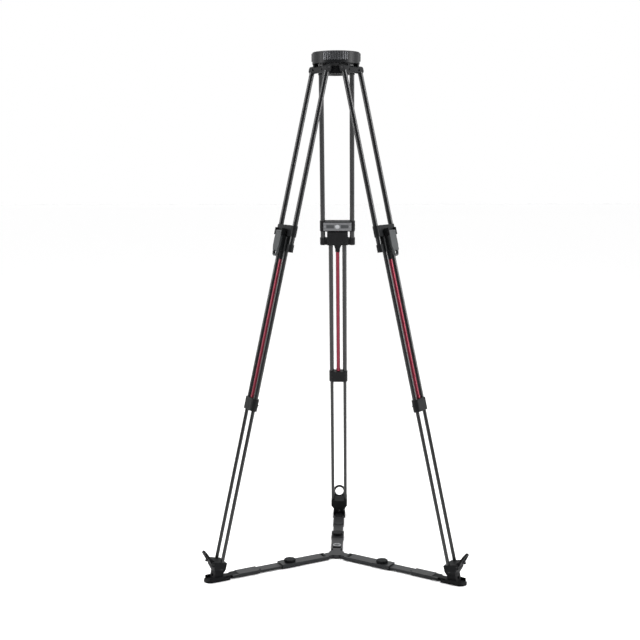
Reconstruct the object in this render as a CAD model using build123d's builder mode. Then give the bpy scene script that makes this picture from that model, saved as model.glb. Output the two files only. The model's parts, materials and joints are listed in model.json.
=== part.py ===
from build123d import *
import math
import os

# Two-stage twin-tube camera tripod with a 100 mm bowl and a telescopic ground spreader.
# Millimetres, +Z up, origin on the floor under the bowl. Every leg piece is drawn once, on the
# leg that points to +Y, and copied to the other two legs by turning it about Z.

# Legs: how they lean and where their shoulder hinges are
leg_turns = {"back": 0, "left": 120, "right": 240}
lean = 13.4
pivot_r = 54
pivot_z = 1522

# Stations, measured down a leg from its shoulder hinge
yoke_end = 13.5
slider_top = 474
slider_end = 507
upper_lock_top = 509
lock_collar_top = 530
upper_lock_end = 553
lower_lock_top = 1001
lower_lock_end = 1038
foot_top = 1503

# Leg tubes
upper_pitch = 94
upper_tube_r = 7.5
upper_wall = 1.5
inner_pitch = 44
mid_tube_r = 7
mid_wall = 1.1
lower_tube_r = 5.6
lower_wall = 1.2
rod_r = 6
lower_overlap = 51
yoke_socket = 8
mid_socket = 22
lower_socket = 20
foot_socket = 22
rod_socket = 10

# Clearances
slide_gap = 0.3
glue_gap = 0.05
pin_gap = 0.05
side_gap = 0.5
sole_gap = 0.5

# Bowl
ring_r = 71
ring_height = 34
ring_bottom = 1536
rim_chamfer = 1.5
seat_r = 50
seat_land = 6
seat_wall = 4
throat_r = 28
throat_wall = 13
throat_bottom = 1505
pad_thickness = 2.5
pad_height = 23.5
pad_angle = 57
pad_grooves = 10
groove_r = 1.6
pad_edge = 1

# Shoulder hinge
shoulder_pin_r = 4
knuckle_r = 7.5
lug_inner = 24
lug_outer = 32
yoke_half = 55.5
yoke_half_depth = 8.5
yoke_up = 8.5
yoke_round = 8
bar_top = 8.5
bar_half_depth = 10

# Slider and leg locks
collar_wall = 2
lock_half = 33.5
lock_half_depth = 12
lock_round = 5
centre_half = 31
centre_half_depth = 12
web_half_depth = 6
housing_half = 24
housing_top = 486
housing_inner = 12.5
housing_depth = 19
cheek_thickness = 3.5
cheek_reach = 28
cheek_end = 508
lever_pivot_s = 497
lever_pivot_v = 23.5
lever_pin_r = 2.5
lever_knuckle_r = 4
lever_half = 19.5
lever_thickness = 7
lever_taper = 540
lever_end = 571.5
lever_tip_half = 13
lever_wall = 5
lever_opening = 13
funnel_r = 12.5
funnel_height = 15
drive_sleeve_r = 7.6
drive_length = 24

# Foot and its latch
foot_half = 28
foot_shoulder = 1522
foot_neck_top = 1538
foot_neck_half = 17
foot_in = 14
foot_out = 24
sole_out = 13
foot_hole_r = 4.5
foot_hole_z = 18
latch_pivot_v = 29
latch_pivot_s = 1510
latch_pin_r = 2.5
latch_knuckle_r = 4.5
latch_rise = 61
latch_length = 42
latch_half = 21.5
latch_thickness = 7
latch_wall = 7
latch_ear = 5

# Ground spreader
arm_half = 19
arm_bottom = 1
arm_top = 12.5
arm_wall = 2.2
arm_start = 54
arm_hollow_start = 57
block_start = 141
block_end = 200
block_grow = 1.5
bar_start = 130
sleeve_start = 277
sleeve_end = 346
sleeve_inset = 0.5
button_width = 20
button_length = 7
cup_ear_end = 366
cup_ear_inner = 12
cup_ear_outer = 18
knob_at = 166
knob_r = 18
knob_height = 7.5
knob_round = 2
knob_flutes = 9
flute_r = 3
knob_stem_r = 4
hub_r = 24
hub_height = 10.5
hub_foot_r = 20
hub_foot_height = 2
hub_pin_at = 40
hub_pin_r = 2.5
hub_pin_z = 6.75
hub_knuckle_r = 5.5
hub_lug_half = 12.5

# Foot cups
cup_centre = 431
cup_r = 21
cup_floor = 6
cup_start = 376
cheek_start = 392
cheek_top = 14
tongue_half = 11.5
tongue_bottom = 2.5
tongue_top = 10.5
rivet_r = 2.2

sin_lean = math.sin(math.radians(lean))
cos_lean = math.cos(math.radians(lean))
shoulder = (0, pivot_r, pivot_z)
seat_z = ring_bottom + ring_height - seat_land
pad_bottom = ring_bottom + ring_height - rim_chamfer - pad_edge - pad_height
lever_face = housing_depth + side_gap
upper_sides = [(-upper_pitch / 2, 0), (upper_pitch / 2, 0)]
inner_sides = [(-inner_pitch / 2, 0), (inner_pitch / 2, 0)]

# Planes through the shoulder hinge of the +Y leg: across the leg, seen from its side with
# x outwards and y up the leg, and facing outwards with y down the leg
across = Plane(origin=shoulder, x_dir=(1, 0, 0), z_dir=(0, -sin_lean, cos_lean))
side = Plane(origin=shoulder, x_dir=(0, cos_lean, sin_lean), z_dir=(1, 0, 0))
outward = Plane(origin=shoulder, x_dir=(1, 0, 0), z_dir=(0, cos_lean, sin_lean))


def save(part, name, turn=0):
    placed = part.rotate(Axis.Z, turn)
    placed.label = name
    export_step(placed, f"parts/{name}.step")


def at(station):
    return across.offset(-station)


def make_tubes(centres, radius, wall, start, end):
    with BuildPart() as tubes:
        with BuildSketch(at(start)):
            with Locations(*centres):
                Circle(radius)
            with Locations(*centres):
                Circle(radius - wall, mode=Mode.SUBTRACT)
        extrude(amount=start - end)
    return tubes.part


def make_pin(plane, centre, radius, half_length):
    with BuildPart() as pin:
        with BuildSketch(plane):
            with Locations(centre):
                Circle(radius)
        extrude(amount=half_length, both=True)
    return pin.part


def make_lugs():
    # one pair of hinge lugs, hanging from the bowl ring astride the +Y leg
    with BuildPart() as lugs:
        with BuildSketch(Plane.YZ):
            with Locations((pivot_r, pivot_z)):
                Circle(knuckle_r)
            with Locations((pivot_r, (pivot_z + ring_bottom) / 2)):
                Rectangle(2 * knuckle_r, ring_bottom - pivot_z)
        extrude(amount=lug_outer, both=True)
        with BuildSketch(Plane.YZ):
            with Locations((pivot_r, pivot_z)):
                Rectangle(4 * knuckle_r, 2 * (ring_bottom - pivot_z))
        extrude(amount=lug_inner, both=True, mode=Mode.SUBTRACT)
    return lugs.part


def make_bowl():
    lugs = make_lugs()
    bore = make_pin(Plane.YZ, (pivot_r, pivot_z), shoulder_pin_r, yoke_half)
    with BuildPart() as bowl:
        with BuildSketch(Plane.XY.offset(ring_bottom)):
            Circle(ring_r)
        extrude(amount=ring_height)
        chamfer(bowl.edges().sort_by(Axis.Z)[-1], rim_chamfer)
        with BuildSketch(Plane.XY.offset(throat_bottom)):
            Circle(throat_r + throat_wall)
        extrude(amount=ring_bottom - throat_bottom)
        with Locations((0, 0, seat_z)):
            Sphere(seat_r + seat_wall, arc_size2=0, align=(Align.CENTER, Align.CENTER, Align.MAX))
        with PolarLocations(0, len(leg_turns)):
            add(lugs)
        with Locations((0, 0, seat_z)):
            Sphere(seat_r, mode=Mode.SUBTRACT)
        with BuildSketch(Plane.XY.offset(seat_z)):
            Circle(seat_r)
        extrude(amount=seat_land, mode=Mode.SUBTRACT)
        with BuildSketch(Plane.XY.offset(throat_bottom)):
            Circle(throat_r)
        extrude(amount=seat_z - throat_bottom, mode=Mode.SUBTRACT)
        with PolarLocations(0, len(leg_turns)):
            add(bore, mode=Mode.SUBTRACT)
    return bowl.part


def make_rim_pads():
    # grooved plates on the ring, one between each two legs
    with BuildPart() as pads:
        for turn in leg_turns.values():
            start = turn - 90 - pad_angle / 2
            with BuildSketch(Plane.XY.offset(pad_bottom)):
                with BuildLine():
                    outer = CenterArc((0, 0), ring_r + pad_thickness, start, pad_angle)
                    inner = CenterArc((0, 0), ring_r, start, pad_angle)
                    Line(outer @ 0, inner @ 0)
                    Line(outer @ 1, inner @ 1)
                make_face()
                first_groove = start + pad_angle / pad_grooves / 2
                with PolarLocations(ring_r + pad_thickness, pad_grooves, first_groove, pad_angle):
                    Circle(groove_r, mode=Mode.SUBTRACT)
            extrude(amount=pad_height)
    return pads.part


def make_shoulder_pins():
    pin = make_pin(Plane.YZ, (pivot_r, pivot_z), shoulder_pin_r, yoke_half)
    with BuildPart() as pins:
        with PolarLocations(0, len(leg_turns)):
            add(pin)
    return pins.part


def make_yoke():
    with BuildPart() as yoke:
        with BuildSketch(side):
            with Locations((0, (yoke_up - yoke_end) / 2)):
                RectangleRounded(2 * yoke_half_depth, yoke_up + yoke_end, yoke_round)
        extrude(amount=yoke_half, both=True)
        with BuildSketch(side):
            with Locations((0, yoke_up - bar_top)):
                Rectangle(4 * yoke_half_depth, 2 * yoke_up)
        extrude(amount=lug_outer + side_gap, both=True, mode=Mode.SUBTRACT)
        with BuildSketch(side):
            Circle(knuckle_r)
            with Locations((0, -bar_top / 2)):
                Rectangle(2 * knuckle_r, bar_top)
        extrude(amount=lug_inner - side_gap, both=True)
        add(make_pin(side, (0, 0), shoulder_pin_r + pin_gap, yoke_half), mode=Mode.SUBTRACT)
        with BuildSketch(at(yoke_end)):
            with Locations(*upper_sides):
                Circle(upper_tube_r + glue_gap)
        extrude(amount=yoke_socket, mode=Mode.SUBTRACT)
    return yoke.part


def make_slider():
    with BuildPart() as slider:
        with BuildSketch(at(slider_top)):
            Rectangle(upper_pitch, 2 * bar_half_depth)
            with Locations(*upper_sides):
                Circle(upper_tube_r + collar_wall)
        extrude(amount=slider_top - slider_end)
        with BuildSketch(at(slider_end)):
            with Locations(*upper_sides):
                Circle(upper_tube_r + slide_gap)
        extrude(amount=slider_end - slider_top, mode=Mode.SUBTRACT)
        with BuildSketch(at(slider_end)):
            with Locations(*inner_sides):
                Circle(mid_tube_r + glue_gap)
        extrude(amount=mid_socket, mode=Mode.SUBTRACT)
        with BuildSketch(at(slider_end)):
            Circle(rod_r + slide_gap)
        extrude(amount=rod_socket + side_gap, mode=Mode.SUBTRACT)
    return slider.part


def make_upper_lock():
    with BuildPart() as lock:
        with BuildSketch(at(upper_lock_top)):
            RectangleRounded(2 * lock_half, 2 * lock_half_depth, lock_round)
        extrude(amount=upper_lock_top - upper_lock_end)
        with BuildSketch(at(lock_collar_top)):
            Rectangle(upper_pitch, 2 * web_half_depth)
            with Locations(*upper_sides):
                Circle(upper_tube_r + collar_wall)
        extrude(amount=lock_collar_top - upper_lock_end)
        with BuildSketch(outward):
            with Locations((0, (upper_lock_top + upper_lock_end) / 2)):
                Rectangle(2 * housing_half, upper_lock_end - upper_lock_top)
        extrude(amount=housing_depth)
        with BuildSketch(outward.offset(housing_inner)):
            with Locations((0, (housing_top + upper_lock_end) / 2)):
                Rectangle(2 * housing_half, upper_lock_end - housing_top)
        extrude(amount=housing_depth - housing_inner)
        with BuildSketch(outward.offset(housing_depth)):
            for edge in (-1, 1):
                with Locations((edge * (housing_half - cheek_thickness / 2), (housing_top + cheek_end) / 2)):
                    Rectangle(cheek_thickness, cheek_end - housing_top)
        extrude(amount=cheek_reach - housing_depth)
        lever_bore = make_pin(side, (lever_pivot_v, -lever_pivot_s), lever_pin_r, housing_half)
        add(lever_bore, mode=Mode.SUBTRACT)
        with BuildSketch(at(upper_lock_end)):
            with Locations(*inner_sides):
                Circle(mid_tube_r + slide_gap)
            Circle(rod_r + slide_gap)
        extrude(amount=upper_lock_end - upper_lock_top, mode=Mode.SUBTRACT)
        with BuildSketch(at(lock_collar_top)):
            with Locations(*upper_sides):
                Circle(upper_tube_r + glue_gap)
        extrude(amount=lock_collar_top - upper_lock_end + collar_wall, mode=Mode.SUBTRACT)
    return lock.part


def make_lever():
    tip_centre = lever_end - lever_tip_half
    slot_centre = lever_end - lever_wall - lever_opening / 2
    with BuildPart() as lever:
        with BuildSketch(outward.offset(lever_face)):
            with BuildLine():
                Polyline((-lever_half, lever_pivot_s), (lever_half, lever_pivot_s),
                         (lever_half, lever_taper), (lever_tip_half, tip_centre),
                         (-lever_tip_half, tip_centre), (-lever_half, lever_taper), close=True)
            make_face()
            with Locations((0, tip_centre)):
                Circle(lever_tip_half)
            with Locations((0, slot_centre)):
                SlotOverall(2 * (lever_tip_half - lever_wall), lever_opening, mode=Mode.SUBTRACT)
        extrude(amount=lever_thickness)
        add(make_pin(side, (lever_pivot_v, -lever_pivot_s), lever_knuckle_r, lever_half))
        bore = make_pin(side, (lever_pivot_v, -lever_pivot_s), lever_pin_r + pin_gap, lever_half)
        add(bore, mode=Mode.SUBTRACT)
    return lever.part


def make_drive_collar():
    top = upper_lock_end + side_gap
    with BuildPart() as collar:
        with BuildSketch(at(top)):
            Circle(funnel_r)
        with BuildSketch(at(top + funnel_height)):
            Circle(drive_sleeve_r)
        loft()
        with BuildSketch(at(top + funnel_height)):
            Circle(drive_sleeve_r)
        extrude(amount=funnel_height - drive_length)
        with BuildSketch(at(top)):
            Circle(rod_r + slide_gap)
        extrude(amount=-drive_length, mode=Mode.SUBTRACT)
    return collar.part


def make_rod():
    with BuildPart() as rod:
        with BuildSketch(at(slider_end - rod_socket)):
            Circle(rod_r)
        extrude(amount=slider_end - lower_lock_top - 2 * rod_socket)
    return rod.part


def make_lower_lock():
    with BuildPart() as lock:
        with BuildSketch(at(lower_lock_top)):
            SlotOverall(2 * centre_half, 2 * centre_half_depth)
        extrude(amount=lower_lock_top - lower_lock_end)
        with BuildSketch(at(lower_lock_top)):
            with Locations(*inner_sides):
                Circle(mid_tube_r + glue_gap)
        extrude(amount=-lower_socket, mode=Mode.SUBTRACT)
        with BuildSketch(at(lower_lock_top)):
            with Locations(*inner_sides):
                Circle(lower_tube_r + slide_gap)
        extrude(amount=lower_lock_top - lower_lock_end, mode=Mode.SUBTRACT)
        with BuildSketch(at(lower_lock_top)):
            Circle(rod_r + slide_gap)
        extrude(amount=-rod_socket - side_gap, mode=Mode.SUBTRACT)
    return lock.part


def make_foot():
    below_floor = (pivot_z + foot_half) / cos_lean
    with BuildPart() as foot:
        with BuildSketch(outward.offset(-foot_in)):
            with BuildLine():
                Polyline((-foot_half, foot_top), (foot_half, foot_top), (foot_half, foot_shoulder),
                         (foot_neck_half, foot_neck_top), (foot_neck_half, below_floor),
                         (-foot_neck_half, below_floor), (-foot_neck_half, foot_neck_top),
                         (-foot_half, foot_shoulder), close=True)
            make_face()
        extrude(amount=foot_in + foot_out)
        with BuildSketch(side):
            with BuildLine():
                Polyline((foot_out, -foot_shoulder), (sole_out, -foot_neck_top), (sole_out, -below_floor),
                         (3 * foot_out, -below_floor), (3 * foot_out, -foot_shoulder), close=True)
            make_face()
        extrude(amount=foot_half, both=True, mode=Mode.SUBTRACT)
        with BuildSketch(outward.offset(foot_out)):
            for edge in (-1, 1):
                with Locations((edge * (foot_half - latch_ear / 2), latch_pivot_s)):
                    Rectangle(latch_ear, 2 * (latch_pivot_s - foot_top))
        extrude(amount=latch_pivot_v - foot_out + latch_knuckle_r)
        split(bisect_by=Plane.XY.offset(cup_floor + sole_gap), keep=Keep.TOP)
        latch_bore = make_pin(side, (latch_pivot_v, -latch_pivot_s), latch_pin_r, foot_half)
        add(latch_bore, mode=Mode.SUBTRACT)
        with BuildSketch(at(foot_top)):
            with Locations(*inner_sides):
                Circle(lower_tube_r + glue_gap)
        extrude(amount=-foot_socket, mode=Mode.SUBTRACT)
        with BuildSketch(Plane.XZ):
            with Locations((0, foot_hole_z)):
                Circle(foot_hole_r)
        extrude(amount=-2 * cup_centre, mode=Mode.SUBTRACT)
    return foot.part


def make_latch():
    # a D-shaped finger loop that stands up and outwards from its pin
    rise = math.radians(latch_rise)
    pin_centre = side.from_local_coords(Vector(latch_pivot_v, -latch_pivot_s, 0))
    loop = Plane(origin=pin_centre, x_dir=(1, 0, 0), z_dir=(0, math.sin(rise), -math.cos(rise)))
    straight = latch_length - latch_half
    with BuildPart() as latch:
        with BuildSketch(loop.offset(-latch_thickness / 2)):
            with Locations((0, -straight / 2)):
                Rectangle(2 * latch_half, straight)
            with Locations((0, -straight)):
                Circle(latch_half)
            with Locations((0, -straight)):
                Circle(latch_half - latch_wall, mode=Mode.SUBTRACT)
        extrude(amount=latch_thickness)
        add(make_pin(side, (latch_pivot_v, -latch_pivot_s), latch_knuckle_r, latch_half))
        bore = make_pin(side, (latch_pivot_v, -latch_pivot_s), latch_pin_r + pin_gap, latch_half)
        add(bore, mode=Mode.SUBTRACT)
    return latch.part


def make_cup():
    with BuildPart() as cup:
        with BuildSketch(Plane.XY):
            with Locations((0, (cup_start + cup_centre) / 2)):
                Rectangle(2 * cup_r, cup_centre - cup_start)
            with Locations((0, cup_centre)):
                Circle(cup_r)
        extrude(amount=cheek_top)
        with BuildSketch(Plane.XY.offset(cup_floor)):
            with Locations((0, cup_centre)):
                Rectangle(2 * (foot_neck_half + side_gap), 2 * cup_centre)
            with Locations((0, cheek_start / 2)):
                Rectangle(2 * cup_r, cheek_start)
        extrude(amount=cheek_top, mode=Mode.SUBTRACT)
        with BuildSketch(Plane.XY.offset(tongue_bottom)):
            with Locations((0, (sleeve_end + cheek_start) / 2)):
                Rectangle(2 * tongue_half, cheek_start - sleeve_end)
        extrude(amount=tongue_top - tongue_bottom)
        tip_z = (tongue_top + tongue_bottom) / 2
        with BuildSketch(Plane.YZ):
            with Locations(((sleeve_end + cup_ear_end) / 2, tip_z)):
                Circle(rivet_r)
        extrude(amount=cup_r, both=True, mode=Mode.SUBTRACT)
    return cup.part


def make_arm_root():
    middle_z = (arm_bottom + arm_top) / 2
    height = arm_top - arm_bottom
    with BuildPart() as arm:
        with BuildSketch(Plane.XZ.offset(-arm_start)):
            with Locations((0, middle_z)):
                Rectangle(2 * arm_half, height)
        extrude(amount=arm_start - block_start)
        with BuildSketch(Plane.XZ.offset(-block_start)):
            with Locations((0, middle_z + block_grow / 2)):
                Rectangle(2 * (arm_half + block_grow), height + block_grow)
        extrude(amount=block_start - block_end)
        with BuildSketch(Plane.XZ.offset(-arm_hollow_start)):
            with Locations((0, middle_z)):
                Rectangle(2 * (arm_half - arm_wall), height - 2 * arm_wall)
        extrude(amount=arm_hollow_start - block_end, mode=Mode.SUBTRACT)
        with BuildSketch(Plane.YZ):
            with Locations((hub_pin_at, hub_pin_z)):
                Circle(hub_knuckle_r)
            with Locations(((hub_pin_at + arm_start) / 2, hub_pin_z)):
                Rectangle(arm_start - hub_pin_at, 2 * hub_knuckle_r)
        extrude(amount=arm_half, both=True)
        with BuildSketch(Plane.XY):
            with Locations((0, arm_start / 2)):
                Rectangle(2 * (hub_lug_half + side_gap), arm_start)
        extrude(amount=2 * arm_top, mode=Mode.SUBTRACT)
        add(make_pin(Plane.YZ, (hub_pin_at, hub_pin_z), hub_pin_r, arm_half), mode=Mode.SUBTRACT)
        with BuildSketch(Plane.XY.offset(middle_z)):
            with Locations((0, knob_at)):
                Circle(knob_stem_r + pin_gap)
        extrude(amount=arm_top, mode=Mode.SUBTRACT)
    return arm.part


def make_arm_slide():
    middle_z = (arm_bottom + arm_top) / 2
    inner_half = arm_half - arm_wall - slide_gap
    inner_height = arm_top - arm_bottom - 2 * (arm_wall + slide_gap)
    with BuildPart() as arm:
        with BuildSketch(Plane.XZ.offset(-bar_start)):
            with Locations((0, middle_z)):
                Rectangle(2 * inner_half, inner_height)
        extrude(amount=bar_start - sleeve_start)
        with BuildSketch(Plane.XZ.offset(-sleeve_start)):
            with Locations((0, middle_z)):
                Rectangle(2 * (arm_half - sleeve_inset), arm_top - arm_bottom - 2 * sleeve_inset)
        extrude(amount=sleeve_start - sleeve_end)
        with BuildSketch(Plane.XY.offset(middle_z)):
            with Locations((0, sleeve_start - button_length / 2)):
                Rectangle(button_width, button_length)
        extrude(amount=arm_top - middle_z - sleeve_inset)
        with BuildSketch(Plane.XY.offset(tongue_bottom)):
            for edge in (-1, 1):
                middle_u = edge * (cup_ear_inner + cup_ear_outer) / 2
                with Locations((middle_u, (sleeve_end + cup_ear_end) / 2)):
                    Rectangle(cup_ear_outer - cup_ear_inner, cup_ear_end - sleeve_end)
        extrude(amount=tongue_top - tongue_bottom)
    return arm.part


def make_knob():
    base = arm_top + block_grow + side_gap
    with BuildPart() as knob:
        with BuildSketch(Plane.XY.offset(base)):
            with Locations((0, knob_at)):
                Circle(knob_r)
                with PolarLocations(knob_r + flute_r / 2, knob_flutes):
                    Circle(flute_r, mode=Mode.SUBTRACT)
        extrude(amount=knob_height)
        fillet(knob.faces().sort_by(Axis.Z)[-1].edges(), knob_round)
        stem_bottom = arm_top - arm_wall + slide_gap
        with BuildSketch(Plane.XY.offset(stem_bottom)):
            with Locations((0, knob_at)):
                Circle(knob_stem_r)
        extrude(amount=base - stem_bottom)
    return knob.part


def make_hub():
    with BuildPart() as lug:
        with BuildSketch(Plane.YZ):
            with Locations((hub_pin_at, hub_pin_z)):
                Circle(hub_knuckle_r)
            with Locations((hub_pin_at / 2, hub_pin_z)):
                Rectangle(hub_pin_at, 2 * hub_knuckle_r)
        extrude(amount=hub_lug_half, both=True)
    bore = make_pin(Plane.YZ, (hub_pin_at, hub_pin_z), hub_pin_r, arm_half)
    with BuildPart() as hub:
        with BuildSketch(Plane.XY):
            Circle(hub_foot_r)
        extrude(amount=hub_foot_height)
        with BuildSketch(Plane.XY.offset(hub_foot_height)):
            Circle(hub_r)
        extrude(amount=hub_height)
        with PolarLocations(0, len(leg_turns)):
            add(lug.part)
        with PolarLocations(0, len(leg_turns)):
            add(bore, mode=Mode.SUBTRACT)
    return hub.part


def make_hub_pins():
    pin = make_pin(Plane.YZ, (hub_pin_at, hub_pin_z), hub_pin_r, arm_half)
    with BuildPart() as pins:
        with PolarLocations(0, len(leg_turns)):
            add(pin)
    return pins.part


def make_leg_pieces():
    upper_end = upper_lock_end - collar_wall
    lower_start = lower_lock_top - lower_overlap
    return {
        "shoulder_yoke": make_yoke(),
        "upper_tubes": make_tubes(upper_sides, upper_tube_r, upper_wall, yoke_end - yoke_socket, upper_end),
        "upper_lock": make_upper_lock(),
        "lock_lever": make_lever(),
        "lever_pin": make_pin(side, (lever_pivot_v, -lever_pivot_s), lever_pin_r, housing_half),
        "drive_collar": make_drive_collar(),
        "slider": make_slider(),
        "mid_tubes": make_tubes(inner_sides, mid_tube_r, mid_wall, slider_end - mid_socket,
                                lower_lock_top + lower_socket),
        "lock_rod": make_rod(),
        "lower_lock": make_lower_lock(),
        "lower_tubes": make_tubes(inner_sides, lower_tube_r, lower_wall, lower_start, foot_top + foot_socket),
        "foot": make_foot(),
        "foot_latch": make_latch(),
        "latch_pin": make_pin(side, (latch_pivot_v, -latch_pivot_s), latch_pin_r, foot_half),
        "foot_cup": make_cup(),
        "arm_root": make_arm_root(),
        "arm_slide": make_arm_slide(),
        "arm_knob": make_knob(),
    }


os.makedirs("parts", exist_ok=True)
save(make_bowl(), "bowl")
save(make_rim_pads(), "bowl_rim_pads")
save(make_shoulder_pins(), "shoulder_pins")
save(make_hub(), "spreader_hub")
save(make_hub_pins(), "hub_pins")
for piece, part in make_leg_pieces().items():
    for leg, turn in leg_turns.items():
        save(part, f"{piece}_{leg}", turn)
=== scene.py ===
import json
import math
import bpy
from mathutils import Matrix, Vector

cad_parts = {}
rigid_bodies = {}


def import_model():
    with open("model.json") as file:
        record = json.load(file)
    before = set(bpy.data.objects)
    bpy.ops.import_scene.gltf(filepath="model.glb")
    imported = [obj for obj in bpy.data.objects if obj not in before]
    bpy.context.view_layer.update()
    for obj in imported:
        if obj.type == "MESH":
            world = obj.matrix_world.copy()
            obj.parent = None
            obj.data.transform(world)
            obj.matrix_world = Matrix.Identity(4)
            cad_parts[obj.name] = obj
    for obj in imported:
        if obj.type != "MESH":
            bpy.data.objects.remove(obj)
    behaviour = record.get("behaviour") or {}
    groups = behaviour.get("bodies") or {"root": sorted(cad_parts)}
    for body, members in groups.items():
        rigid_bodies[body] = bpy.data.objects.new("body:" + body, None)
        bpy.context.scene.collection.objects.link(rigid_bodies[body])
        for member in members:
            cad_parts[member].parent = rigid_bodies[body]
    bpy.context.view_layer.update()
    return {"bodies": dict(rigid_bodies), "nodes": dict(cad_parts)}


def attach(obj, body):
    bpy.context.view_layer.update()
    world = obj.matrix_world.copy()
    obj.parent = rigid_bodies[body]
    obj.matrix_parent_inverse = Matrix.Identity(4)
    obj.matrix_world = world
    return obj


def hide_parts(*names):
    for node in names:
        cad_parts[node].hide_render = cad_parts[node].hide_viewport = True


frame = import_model()
print("frame loaded:", len(frame["nodes"]), "parts")

mm = 0.001
legTurns = {"back": 0, "left": 120, "right": 240}  # degrees about Z
shoulder = {"lean": 13.4, "out": 54, "up": 1522}  # the hinge that leg pieces are measured from, mm
xAxis, yAxis, zAxis = Vector((1, 0, 0)), Vector((0, 1, 0)), Vector((0, 0, 1))
sharpAbove = 30  # degrees between two faces whose edge is rounded
roundSteps = 2  # faces across a rounded edge
smoothBelow = 42  # degrees between two faces that are shaded as one
sameWay = 0.95  # cosine above which a face counts as facing a direction
weldWithin = 0.00001  # metres between mesh points that are one
flatWithin = 0.8  # degrees between mesh faces that are one flat face


def pick(obj):
    if bpy.context.mode != "OBJECT":
        bpy.ops.object.mode_set(mode="OBJECT")
    bpy.ops.object.select_all(action="DESELECT")
    obj.select_set(True)
    bpy.context.view_layer.objects.active = obj


def applyPlace(obj):
    pick(obj)
    bpy.ops.object.transform_apply(location=True, rotation=True, scale=True)
    return obj


def applyModifier(obj, kind, **settings):
    modifier = obj.modifiers.new(kind.title(), kind)
    for key, value in settings.items():
        setattr(modifier, key, value)
    pick(obj)
    bpy.ops.object.modifier_apply(modifier=modifier.name)


def softenEdges(obj, width):
    # a small round on every sharp edge, as a casting or a turned part has
    applyModifier(obj, "BEVEL", width=width * mm, segments=roundSteps, limit_method="ANGLE",
                  angle_limit=math.radians(sharpAbove), miter_outer="MITER_ARC")
    pick(obj)
    bpy.ops.object.shade_smooth_by_angle(angle=math.radians(smoothBelow))
    applyModifier(obj, "WEIGHTED_NORMAL", keep_sharp=True, weight=60)
    return obj


def addBlock(size, centre):
    bpy.ops.mesh.primitive_cube_add(size=1, location=Vector(centre) * mm, scale=Vector(size) * mm)
    return applyPlace(bpy.context.object)


def addRound(radius, length, centre, axis=zAxis, sides=48):
    # a round bar with its length along the axis
    turn = zAxis.rotation_difference(axis).to_euler()
    bpy.ops.mesh.primitive_cylinder_add(vertices=sides, radius=radius * mm, depth=length * mm,
                                        location=Vector(centre) * mm, rotation=turn)
    return applyPlace(bpy.context.object)


def selectFaces(obj, facing):
    pick(obj)
    bpy.ops.object.mode_set(mode="EDIT")
    bpy.ops.mesh.select_mode(type="FACE")
    bpy.ops.mesh.select_all(action="DESELECT")
    bpy.ops.object.mode_set(mode="OBJECT")
    for face in obj.data.polygons:
        face.select = face.normal.dot(facing) > sameWay
    bpy.ops.object.mode_set(mode="EDIT")


def sinkFace(obj, facing, border, depth, slope=0.2):
    # a border is left round the face and its middle is pushed in
    selectFaces(obj, facing)
    bpy.ops.mesh.inset(thickness=border * mm)
    bpy.ops.mesh.inset(thickness=slope * mm, depth=-depth * mm)
    bpy.ops.object.mode_set(mode="OBJECT")
    return obj


def joinPieces(pieces):
    pick(pieces[0])
    for piece in pieces:
        piece.select_set(True)
    bpy.ops.object.join()
    return bpy.context.object


screwHead = {"border": 0.42, "depth": 0.6, "round": 0.25}  # shares of radius and of height; mm


def addScrew(radius, height, centre, axis):
    screw = addRound(radius, height, centre, axis, sides=24)
    sinkFace(screw, axis, radius * screwHead["border"], height * screwHead["depth"])
    return softenEdges(screw, screwHead["round"])


def refineNode(node, width):
    # the CAD shape itself, welded into whole faces and given rounded edges
    mesh = frame["nodes"][node].data.copy()
    obj = bpy.data.objects.new(node + "_fine", mesh)
    bpy.context.scene.collection.objects.link(obj)
    mesh.materials.clear()
    pick(obj)
    bpy.ops.mesh.customdata_custom_splitnormals_clear()
    bpy.ops.object.mode_set(mode="EDIT")
    bpy.ops.mesh.select_all(action="SELECT")
    bpy.ops.mesh.remove_doubles(threshold=weldWithin)
    bpy.ops.mesh.dissolve_limited(angle_limit=math.radians(flatWithin))
    bpy.ops.object.mode_set(mode="OBJECT")
    return softenEdges(obj, width)


def toLeg(obj):
    # from leg measures (x across, y outwards, z up the leg) to where the +Y leg stands
    obj.rotation_euler = (math.radians(shoulder["lean"]), 0, 0)
    obj.location = Vector((0, shoulder["out"], shoulder["up"])) * mm
    return applyPlace(obj)


def dressBody(obj, name, body, material, replaced=None):
    obj.name = name
    obj.data.name = name
    obj.data.materials.clear()
    obj.data.materials.append(material)
    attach(obj, body)
    if replaced:
        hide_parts(replaced)


def dressLegs(obj, name, body, material, replaced=None):
    copies = {"back": obj}
    for leg, turn in legTurns.items():
        if leg != "back":
            copy = obj.copy()
            copy.data = obj.data.copy()
            bpy.context.scene.collection.objects.link(copy)
            copy.rotation_euler = (0, 0, math.radians(turn))
            copies[leg] = applyPlace(copy)
    for leg, copy in copies.items():
        node = f"{replaced}_{leg}" if replaced else None
        whole = body if body in frame["bodies"] else f"{body}_{leg}"
        dressBody(copy, f"{name}_{leg}", whole, material, node)


cloudScale = 28.0  # drifts of a finish between its two shades, per metre
grainHeight = 0.2  # mm, the relief of a finish before its bump strength


def hexColour(code):
    # from screen values to the linear ones that shaders take
    channels = [int(code[i:i + 2], 16) / 255 for i in (1, 3, 5)]
    linear = [c / 12.92 if c <= 0.04045 else ((c + 0.055) / 1.055) ** 2.4 for c in channels]
    return (*linear, 1)


def addNode(tree, kind, settings=None, **links):
    node = tree.nodes.new(kind)
    for key, value in (settings or {}).items():
        if key in node.inputs:
            node.inputs[key].default_value = value
        else:
            setattr(node, key, value)
    for key, source in links.items():
        socket = node.inputs[int(key[1:])] if key[0] == "i" and key[1:].isdigit() else node.inputs[key]
        tree.links.new(source, socket)
    return node


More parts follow.
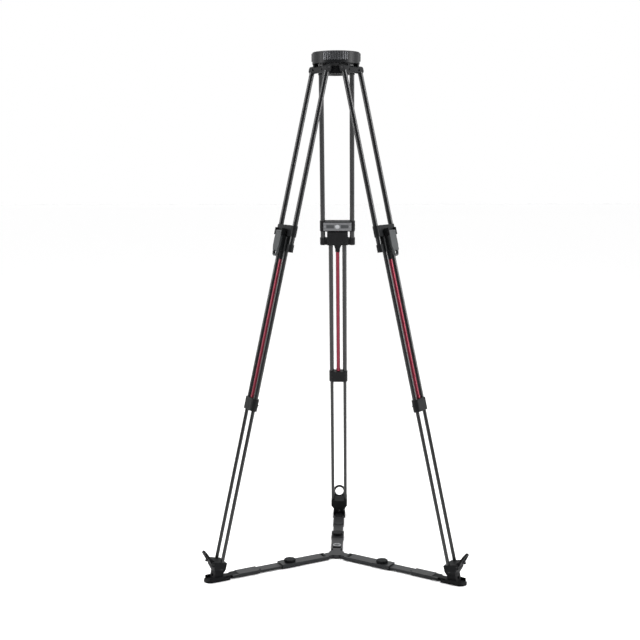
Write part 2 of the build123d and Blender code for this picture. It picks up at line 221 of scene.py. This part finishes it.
def newMaterial(name, **values):
    material = bpy.data.materials.new(name)
    material.use_nodes = True
    tree = material.node_tree
    shader = tree.nodes["Principled BSDF"]
    for key, value in values.items():
        shader.inputs[key.replace("_", " ")].default_value = value
    return material, tree, shader


def grainMaterial(name, dark, light, grit, bump, roughLow, roughHigh, **values):
    # a base colour that drifts between two shades, with grain of the given mm in bump and roughness
    material, tree, shader = newMaterial(name, **values)
    spot = addNode(tree, "ShaderNodeTexCoord")
    cloud = addNode(tree, "ShaderNodeTexNoise", {"Scale": cloudScale, "Detail": 3.0},
                    Vector=spot.outputs["Object"])
    grain = addNode(tree, "ShaderNodeTexNoise", {"Scale": 1 / (grit * mm), "Detail": 2.0},
                    Vector=spot.outputs["Object"])
    shade = addNode(tree, "ShaderNodeMix", {"data_type": "RGBA"}, Factor=cloud.outputs["Fac"])
    shade.inputs[6].default_value = hexColour(dark)
    shade.inputs[7].default_value = hexColour(light)
    rough = addNode(tree, "ShaderNodeMapRange", {"To Min": roughLow, "To Max": roughHigh},
                    Value=grain.outputs["Fac"])
    relief = addNode(tree, "ShaderNodeBump", {"Strength": bump, "Distance": grainHeight * mm},
                     Height=grain.outputs["Fac"])
    tree.links.new(shade.outputs[2], shader.inputs["Base Color"])
    tree.links.new(rough.outputs["Result"], shader.inputs["Roughness"])
    tree.links.new(relief.outputs["Normal"], shader.inputs["Normal"])
    return material


# black powder coat on cast magnesium alloy: even, slightly pebbled, with a broad dull sheen
powderCoat = grainMaterial("blackPowderCoatedCasting", "#0b0c0d", "#121315", 1.1, 0.35, 0.4, 0.6,
                           Specular_IOR_Level=0.14)
# the bowl has the same coat, a little glossier where it is wiped clean
bowlCoat = grainMaterial("blackSatinBowlCoat", "#0d0e0f", "#151618", 0.9, 0.2, 0.34, 0.48,
                         Specular_IOR_Level=0.18)
# glass-filled nylon from a spark-eroded mould: matt and faintly mottled
nylon = grainMaterial("mouldedGlassFilledNylon", "#0a0b0c", "#111214", 0.8, 0.3, 0.52, 0.7,
                      Specular_IOR_Level=0.1)
# the lock levers are moulded in a greyer nylon
leverNylon = grainMaterial("greyMouldedNylon", "#303233", "#3c3e40", 0.8, 0.3, 0.46, 0.62,
                           Specular_IOR_Level=0.35)
# hard anodised extrusion: dark grey with a soft, even sheen
anodisedArm = grainMaterial("darkAnodisedExtrusion", "#1c1d1e", "#28292b", 2.5, 0.12, 0.3, 0.44,
                            Metallic=0.35, Specular_IOR_Level=0.22)
# bead-blasted and clear anodised alloy: soft grey without sharp reflections
blastedAlloy = grainMaterial("beadBlastedAlloy", "#5e5f61", "#707173", 0.7, 0.15, 0.4, 0.55,
                             Metallic=0.5)
# machined and anodised rim plates, brighter than the casting behind them
rimAlloy = grainMaterial("machinedRimPlate", "#56575a", "#747578", 0.9, 0.12, 0.22, 0.32, Metallic=0.8)
# turned and ground steel of caps and screws
groundSteel = grainMaterial("groundSteel", "#96989a", "#a8aaac", 1.5, 0.08, 0.25, 0.38, Metallic=0.9)
# oil-blackened steel of the hinge pins
blackSteel = grainMaterial("blackenedSteel", "#1a1a1b", "#242425", 1.0, 0.08, 0.35, 0.5, Metallic=0.7)
# red dye anodising on a drawn alloy rod: a dark coloured metal sheen
redAnodised = grainMaterial("redAnodisedRod", "#6e1c2c", "#802638", 1.6, 0.1, 0.3, 0.42,
                            Metallic=0.6)


twill = {"repeat": 4, "over": 2, "relief": 0.1}  # tows in the pattern, tows that lie on top, mm


def carbonMaterial(name, around, along):
    # lacquered carbon fibre in a 2/2 twill; a 3K tow is about 2 mm wide
    material, tree, shader = newMaterial(name, Coat_Weight=0.5, Coat_Roughness=0.2, Specular_IOR_Level=0.22)
    spot = addNode(tree, "ShaderNodeTexCoord")
    lie = addNode(tree, "ShaderNodeMapping", {"Scale": (around, along, 1)}, Vector=spot.outputs["UV"])
    parts = addNode(tree, "ShaderNodeSeparateXYZ", Vector=lie.outputs["Vector"])
    column = addNode(tree, "ShaderNodeMath", {"operation": "FLOOR"}, i0=parts.outputs["X"])
    row = addNode(tree, "ShaderNodeMath", {"operation": "FLOOR"}, i0=parts.outputs["Y"])
    total = addNode(tree, "ShaderNodeMath", {"operation": "ADD"}, i0=column.outputs[0], i1=row.outputs[0])
    step = addNode(tree, "ShaderNodeMath", {"operation": "FLOORED_MODULO"}, i0=total.outputs[0])
    step.inputs[1].default_value = twill["repeat"]
    over = addNode(tree, "ShaderNodeMath", {"operation": "LESS_THAN"}, i0=step.outputs[0])
    over.inputs[1].default_value = twill["over"]
    shade = addNode(tree, "ShaderNodeMix", {"data_type": "RGBA"}, Factor=over.outputs[0])
    shade.inputs[6].default_value = hexColour("#0c0d0e")
    shade.inputs[7].default_value = hexColour("#191a1c")
    rough = addNode(tree, "ShaderNodeMapRange", {"To Min": 0.42, "To Max": 0.3}, Value=over.outputs[0])
    relief = addNode(tree, "ShaderNodeBump", {"Strength": 0.15, "Distance": twill["relief"] * mm},
                     Height=over.outputs[0])
    tree.links.new(shade.outputs[2], shader.inputs["Base Color"])
    tree.links.new(rough.outputs["Result"], shader.inputs["Roughness"])
    tree.links.new(relief.outputs["Normal"], shader.inputs["Normal"])
    return material


print("materials made")

tubes = {
    # pitch, outside radius and wall in mm, and where the tube starts and ends down the leg
    "upper_tubes": {"body": "leg", "pitch": 94, "radius": 7.5, "wall": 1.5, "start": 5.5, "end": 551},
    "mid_tubes": {"body": "mid_stage", "pitch": 44, "radius": 7, "wall": 1.1, "start": 485, "end": 1021},
    "lower_tubes": {"body": "lower_stage", "pitch": 44, "radius": 5.6, "wall": 1.2, "start": 950,
                    "end": 1525},
    "tow": 2.0, "mouth": 20, "sides": 64,  # weave width, depth of the open ends
}


def makeTubes(name):
    tube = tubes[name]
    length = tube["end"] - tube["start"]
    middle = -(tube["start"] + tube["end"]) / 2
    pair = []
    for edge in (-1, 1):
        bar = addRound(tube["radius"], length, (edge * tube["pitch"] / 2, 0, middle), sides=tubes["sides"])
        for facing in (zAxis, -zAxis):
            sinkFace(bar, facing, tube["wall"], tubes["mouth"], slope=0.01)
        pair.append(bar)
    both = joinPieces(pair)
    pick(both)
    bpy.ops.object.shade_smooth_by_angle(angle=math.radians(30))
    around = round(2 * math.pi * tube["radius"] / tubes["tow"] / twill["repeat"]) * twill["repeat"]
    # a cylinder's side takes half of its UV height
    weave = carbonMaterial(name + "Carbon", around, 2 * length / tubes["tow"])
    dressLegs(toLeg(both), name, tube["body"], weave, name)


for tubeName in ("upper_tubes", "mid_tubes", "lower_tubes"):
    makeTubes(tubeName)
print("tubes made")

rod = {"radius": 6, "start": 497, "end": 1011, "round": 0.6,
       "ferrule": 7, "ferruleTop": 991, "ferruleEnd": 1000.6, "ferruleRound": 0.8}


def makeRod():
    length = rod["end"] - rod["start"]
    bar = addRound(rod["radius"], length, (0, 0, -(rod["start"] + rod["end"]) / 2))
    softenEdges(bar, rod["round"])
    ferruleLength = rod["ferruleEnd"] - rod["ferruleTop"]
    ferrule = addRound(rod["ferrule"], ferruleLength, (0, 0, -(rod["ferruleTop"] + rod["ferruleEnd"]) / 2))
    softenEdges(ferrule, rod["ferruleRound"])
    whole = joinPieces([bar, ferrule])
    dressLegs(toLeg(whole), "lock_rod", "rod", redAnodised, "lock_rod")


makeRod()
print("lock rods made")

# castings and mouldings that keep their CAD shape: edge round in mm, body, slot and finish
castings = {
    "shoulder_yoke": (1.6, "leg", "black_casting", powderCoat),
    "upper_lock": (1.0, "leg", "black_casting", powderCoat),
    "slider": (1.0, "mid_stage", "grey_casting", powderCoat),
    "lower_lock": (1.2, "mid_stage", "black_casting", powderCoat),
    "lock_lever": (1.4, "lever", "lock_plastic", leverNylon),
    "drive_collar": (0.6, "collar", "lock_plastic", nylon),
    "foot": (1.6, "lower_stage", "cup_plastic", nylon),
    "foot_latch": (1.6, "latch", "lock_plastic", nylon),
    "foot_cup": (1.2, "arm", "cup_plastic", nylon),
    "arm_root": (1.2, "spreader", "spreader_alloy", anodisedArm),
    "arm_slide": (1.2, "arm", "spreader_alloy", anodisedArm),
    "arm_knob": (0.8, "knob", "lock_plastic", nylon),
    "lever_pin": (0.4, "leg", "steel_pin", blackSteel),
    "latch_pin": (0.4, "lower_stage", "steel_pin", blackSteel),
}
for castingName, (width, body, slotName, finish) in castings.items():
    dressLegs(refineNode(castingName + "_back", width), castingName, body, finish, castingName)
dressBody(refineNode("bowl", 0.8), "bowl_casting", "crown", bowlCoat, "bowl")
dressBody(refineNode("bowl_rim_pads", 0.3), "rim_plates", "crown", rimAlloy, "bowl_rim_pads")
dressBody(refineNode("shoulder_pins", 0.5), "hinge_pins", "crown", blackSteel, "shoulder_pins")
dressBody(refineNode("hub_pins", 0.4), "hub_hinge_pins", "spreader", blackSteel, "hub_pins")
dressBody(refineNode("spreader_hub", 1.2), "hub_casting", "spreader", anodisedArm,
          "spreader_hub")
print("castings made")

sliderFace = {"half": 45, "top": 477, "end": 504, "front": 10, "thick": 1.2,
              "slotInner": 11, "slotToScrew": 5, "slotThick": 0.5, "slotShare": 0.42,
              "capRadius": 7, "capHeight": 2.4, "capSunk": 0.4, "capBorder": 1.4, "capDish": 0.5,
              "screwAt": 40.5, "screwRadius": 2.2, "screwHeight": 1.4}


def makeSliderFace():
    height = sliderFace["end"] - sliderFace["top"]
    middle = -(sliderFace["top"] + sliderFace["end"]) / 2
    face = -(sliderFace["front"] + sliderFace["thick"] / 2)
    front = face - sliderFace["thick"] / 2
    plate = addBlock((2 * sliderFace["half"], sliderFace["thick"], height), (0, face, middle))
    softenEdges(plate, 0.3)
    dressLegs(toLeg(plate), "slider_plate", "mid_stage", blastedAlloy)
    slotWidth = sliderFace["screwAt"] - sliderFace["slotInner"] - sliderFace["slotToScrew"]
    slotAt = sliderFace["slotInner"] + slotWidth / 2
    slotSize = (slotWidth, sliderFace["slotThick"], height * sliderFace["slotShare"])
    slots = joinPieces([addBlock(slotSize, (edge * slotAt, front, middle)) for edge in (-1, 1)])
    dressLegs(toLeg(softenEdges(slots, 0.2)), "slider_inlays", "mid_stage", leverNylon)
    capAt = (0, front - sliderFace["capSunk"], middle)
    cap = addRound(sliderFace["capRadius"], sliderFace["capHeight"], capAt, -yAxis)
    sinkFace(cap, -yAxis, sliderFace["capBorder"], sliderFace["capDish"])
    softenEdges(cap, 0.3)
    screws = [addScrew(sliderFace["screwRadius"], sliderFace["screwHeight"],
                       (edge * sliderFace["screwAt"], front, middle), -yAxis) for edge in (-1, 1)]
    dressLegs(toLeg(joinPieces([cap, *screws])), "slider_cap", "mid_stage", groundSteel)


makeSliderFace()

lockScrews = {"outer": 12.0, "radius": 2.4, "height": 1.4, "half": 22, "station": 1019.5,
              "upperHalf": 26, "upperStation": 541}


def makeLockScrews():
    # clamp screws on the inner faces of both locks
    for station, half, body, name in (("station", "half", "mid_stage", "lower_lock_screws"),
                                      ("upperStation", "upperHalf", "leg", "upper_lock_screws")):
        screws = [addScrew(lockScrews["radius"], lockScrews["height"],
                           (edge * lockScrews[half], -lockScrews["outer"], -lockScrews[station]), -yAxis)
                  for edge in (-1, 1)]
        dressLegs(toLeg(joinPieces(screws)), name, body, blackSteel)


makeLockScrews()

armRivet = {"out": 356, "up": 6.5, "radius": 2.15, "half": 18.3}


def makeArmRivets():
    # the rivets that hold the foot cups between the ears of the arms
    rivet = addRound(armRivet["radius"], 2 * armRivet["half"], (0, armRivet["out"], armRivet["up"]), xAxis)
    dressLegs(softenEdges(rivet, 0.4), "arm_rivet", "arm", blackSteel)


makeArmRivets()

level = {"out": 68, "top": 12.5, "ring": 13, "bore": 9.5, "height": 1.6, "sunk": 0.3, "dish": 0.8,
         "glassGap": 0.3, "glassThick": 0.5, "glassBelow": 1.0}


def makeLevel():
    # a round level let into the top of the back arm: a bright ring round a dark glass
    centre = (0, level["out"], level["top"] + level["height"] / 2 - level["sunk"])
    ring = addRound(level["ring"], level["height"], centre)
    sinkFace(ring, zAxis, level["ring"] - level["bore"], level["dish"])
    dressBody(softenEdges(ring, 0.3), "level_ring", "spreader", groundSteel)
    glassAt = (0, level["out"], level["top"] + level["height"] - level["glassBelow"])
    glass = addRound(level["bore"] - level["glassGap"], level["glassThick"], glassAt)
    dressBody(softenEdges(glass, 0.15), "level_glass", "spreader", leverNylon)


makeLevel()
print("details made")

# place in mm, turns in degrees with the pitch downwards, focal length in mm
camera = {"place": (79.4, -3272.8, 1242.4), "yaw": 2.271, "pitch": 8.322, "roll": -0.189, "lens": 60.13,
          "sensor": 36}


def makeCamera():
    data = bpy.data.cameras.new("camera")
    data.lens = camera["lens"]
    data.sensor_width = camera["sensor"]
    obj = bpy.data.objects.new("camera", data)
    bpy.context.scene.collection.objects.link(obj)
    yaw, pitch, roll = (math.radians(camera[k]) for k in ("yaw", "pitch", "roll"))
    forward = Vector((-math.sin(yaw) * math.cos(pitch), math.cos(yaw) * math.cos(pitch), -math.sin(pitch)))
    right = forward.cross(zAxis).normalized()
    up = right.cross(forward)
    turnedRight = math.cos(roll) * right + math.sin(roll) * up
    turnedUp = math.cos(roll) * up - math.sin(roll) * right
    axes = Matrix((turnedRight, turnedUp, -forward)).transposed()
    obj.matrix_world = Matrix.Translation(Vector(camera["place"]) * mm) @ axes.to_4x4()
    bpy.context.scene.camera = obj


studio = {
    # the room is pale, and darker on the camera's side so that black faces stay black
    "roomDark": 0.11, "roomPale": 1.0, "darkBelow": -0.5, "paleAbove": 0.25,
    "floorSize": 60, "floorDown": 0.0005, "aim": (0, 0, 0.9),
    "sun": 1.4, "sunWidth": 50, "sunTurn": (-24, -10, 0),
    # each softbox: place in metres, watts, width and height
    "softboxes": {"left": ((-2.6, -0.8, 2.2), 70, (0.9, 2.4)), "right": ((2.8, -0.6, 2.0), 105, (0.9, 2.4)),
                  "top": ((0.2, -0.9, 3.6), 16, (1.6, 1.6))},
}


def makeStudio():
    bpy.ops.mesh.primitive_plane_add(size=studio["floorSize"], location=(0, 0, -studio["floorDown"]))
    floor = bpy.context.object
    floor.name = "studio_floor"
    paint, _, floorShader = newMaterial("matWhiteFloor", Roughness=0.9)
    floorShader.inputs["Base Color"].default_value = hexColour("#fafafa")
    floor.data.materials.append(paint)
    world = bpy.data.worlds.new("studio")
    world.use_nodes = True
    tree = world.node_tree
    background = tree.nodes["Background"]
    look = addNode(tree, "ShaderNodeTexCoord")
    parts = addNode(tree, "ShaderNodeSeparateXYZ", Vector=look.outputs["Generated"])
    spread = {"From Min": studio["darkBelow"], "From Max": studio["paleAbove"],
              "To Min": studio["roomDark"], "To Max": studio["roomPale"]}
    glow = addNode(tree, "ShaderNodeMapRange", spread, Value=parts.outputs["Y"])
    tree.links.new(glow.outputs["Result"], background.inputs["Strength"])
    background.inputs["Color"].default_value = hexColour("#ffffff")
    bpy.context.scene.world = world
    for name, (place, power, size) in studio["softboxes"].items():
        data = bpy.data.lights.new(name, "AREA")
        data.shape = "RECTANGLE"
        data.energy = power
        data.size, data.size_y = size
        obj = bpy.data.objects.new(name, data)
        bpy.context.scene.collection.objects.link(obj)
        obj.location = place
        obj.rotation_euler = (Vector(studio["aim"]) - Vector(place)).to_track_quat("-Z", "Y").to_euler()
    data = bpy.data.lights.new("sun", "SUN")
    data.energy = studio["sun"]
    data.angle = math.radians(studio["sunWidth"])
    sun = bpy.data.objects.new("sun", data)
    bpy.context.scene.collection.objects.link(sun)
    sun.rotation_euler = [math.radians(turn) for turn in studio["sunTurn"]]
    bpy.context.scene.view_settings.view_transform = "Standard"


makeCamera()
makeStudio()
print("camera and studio made")
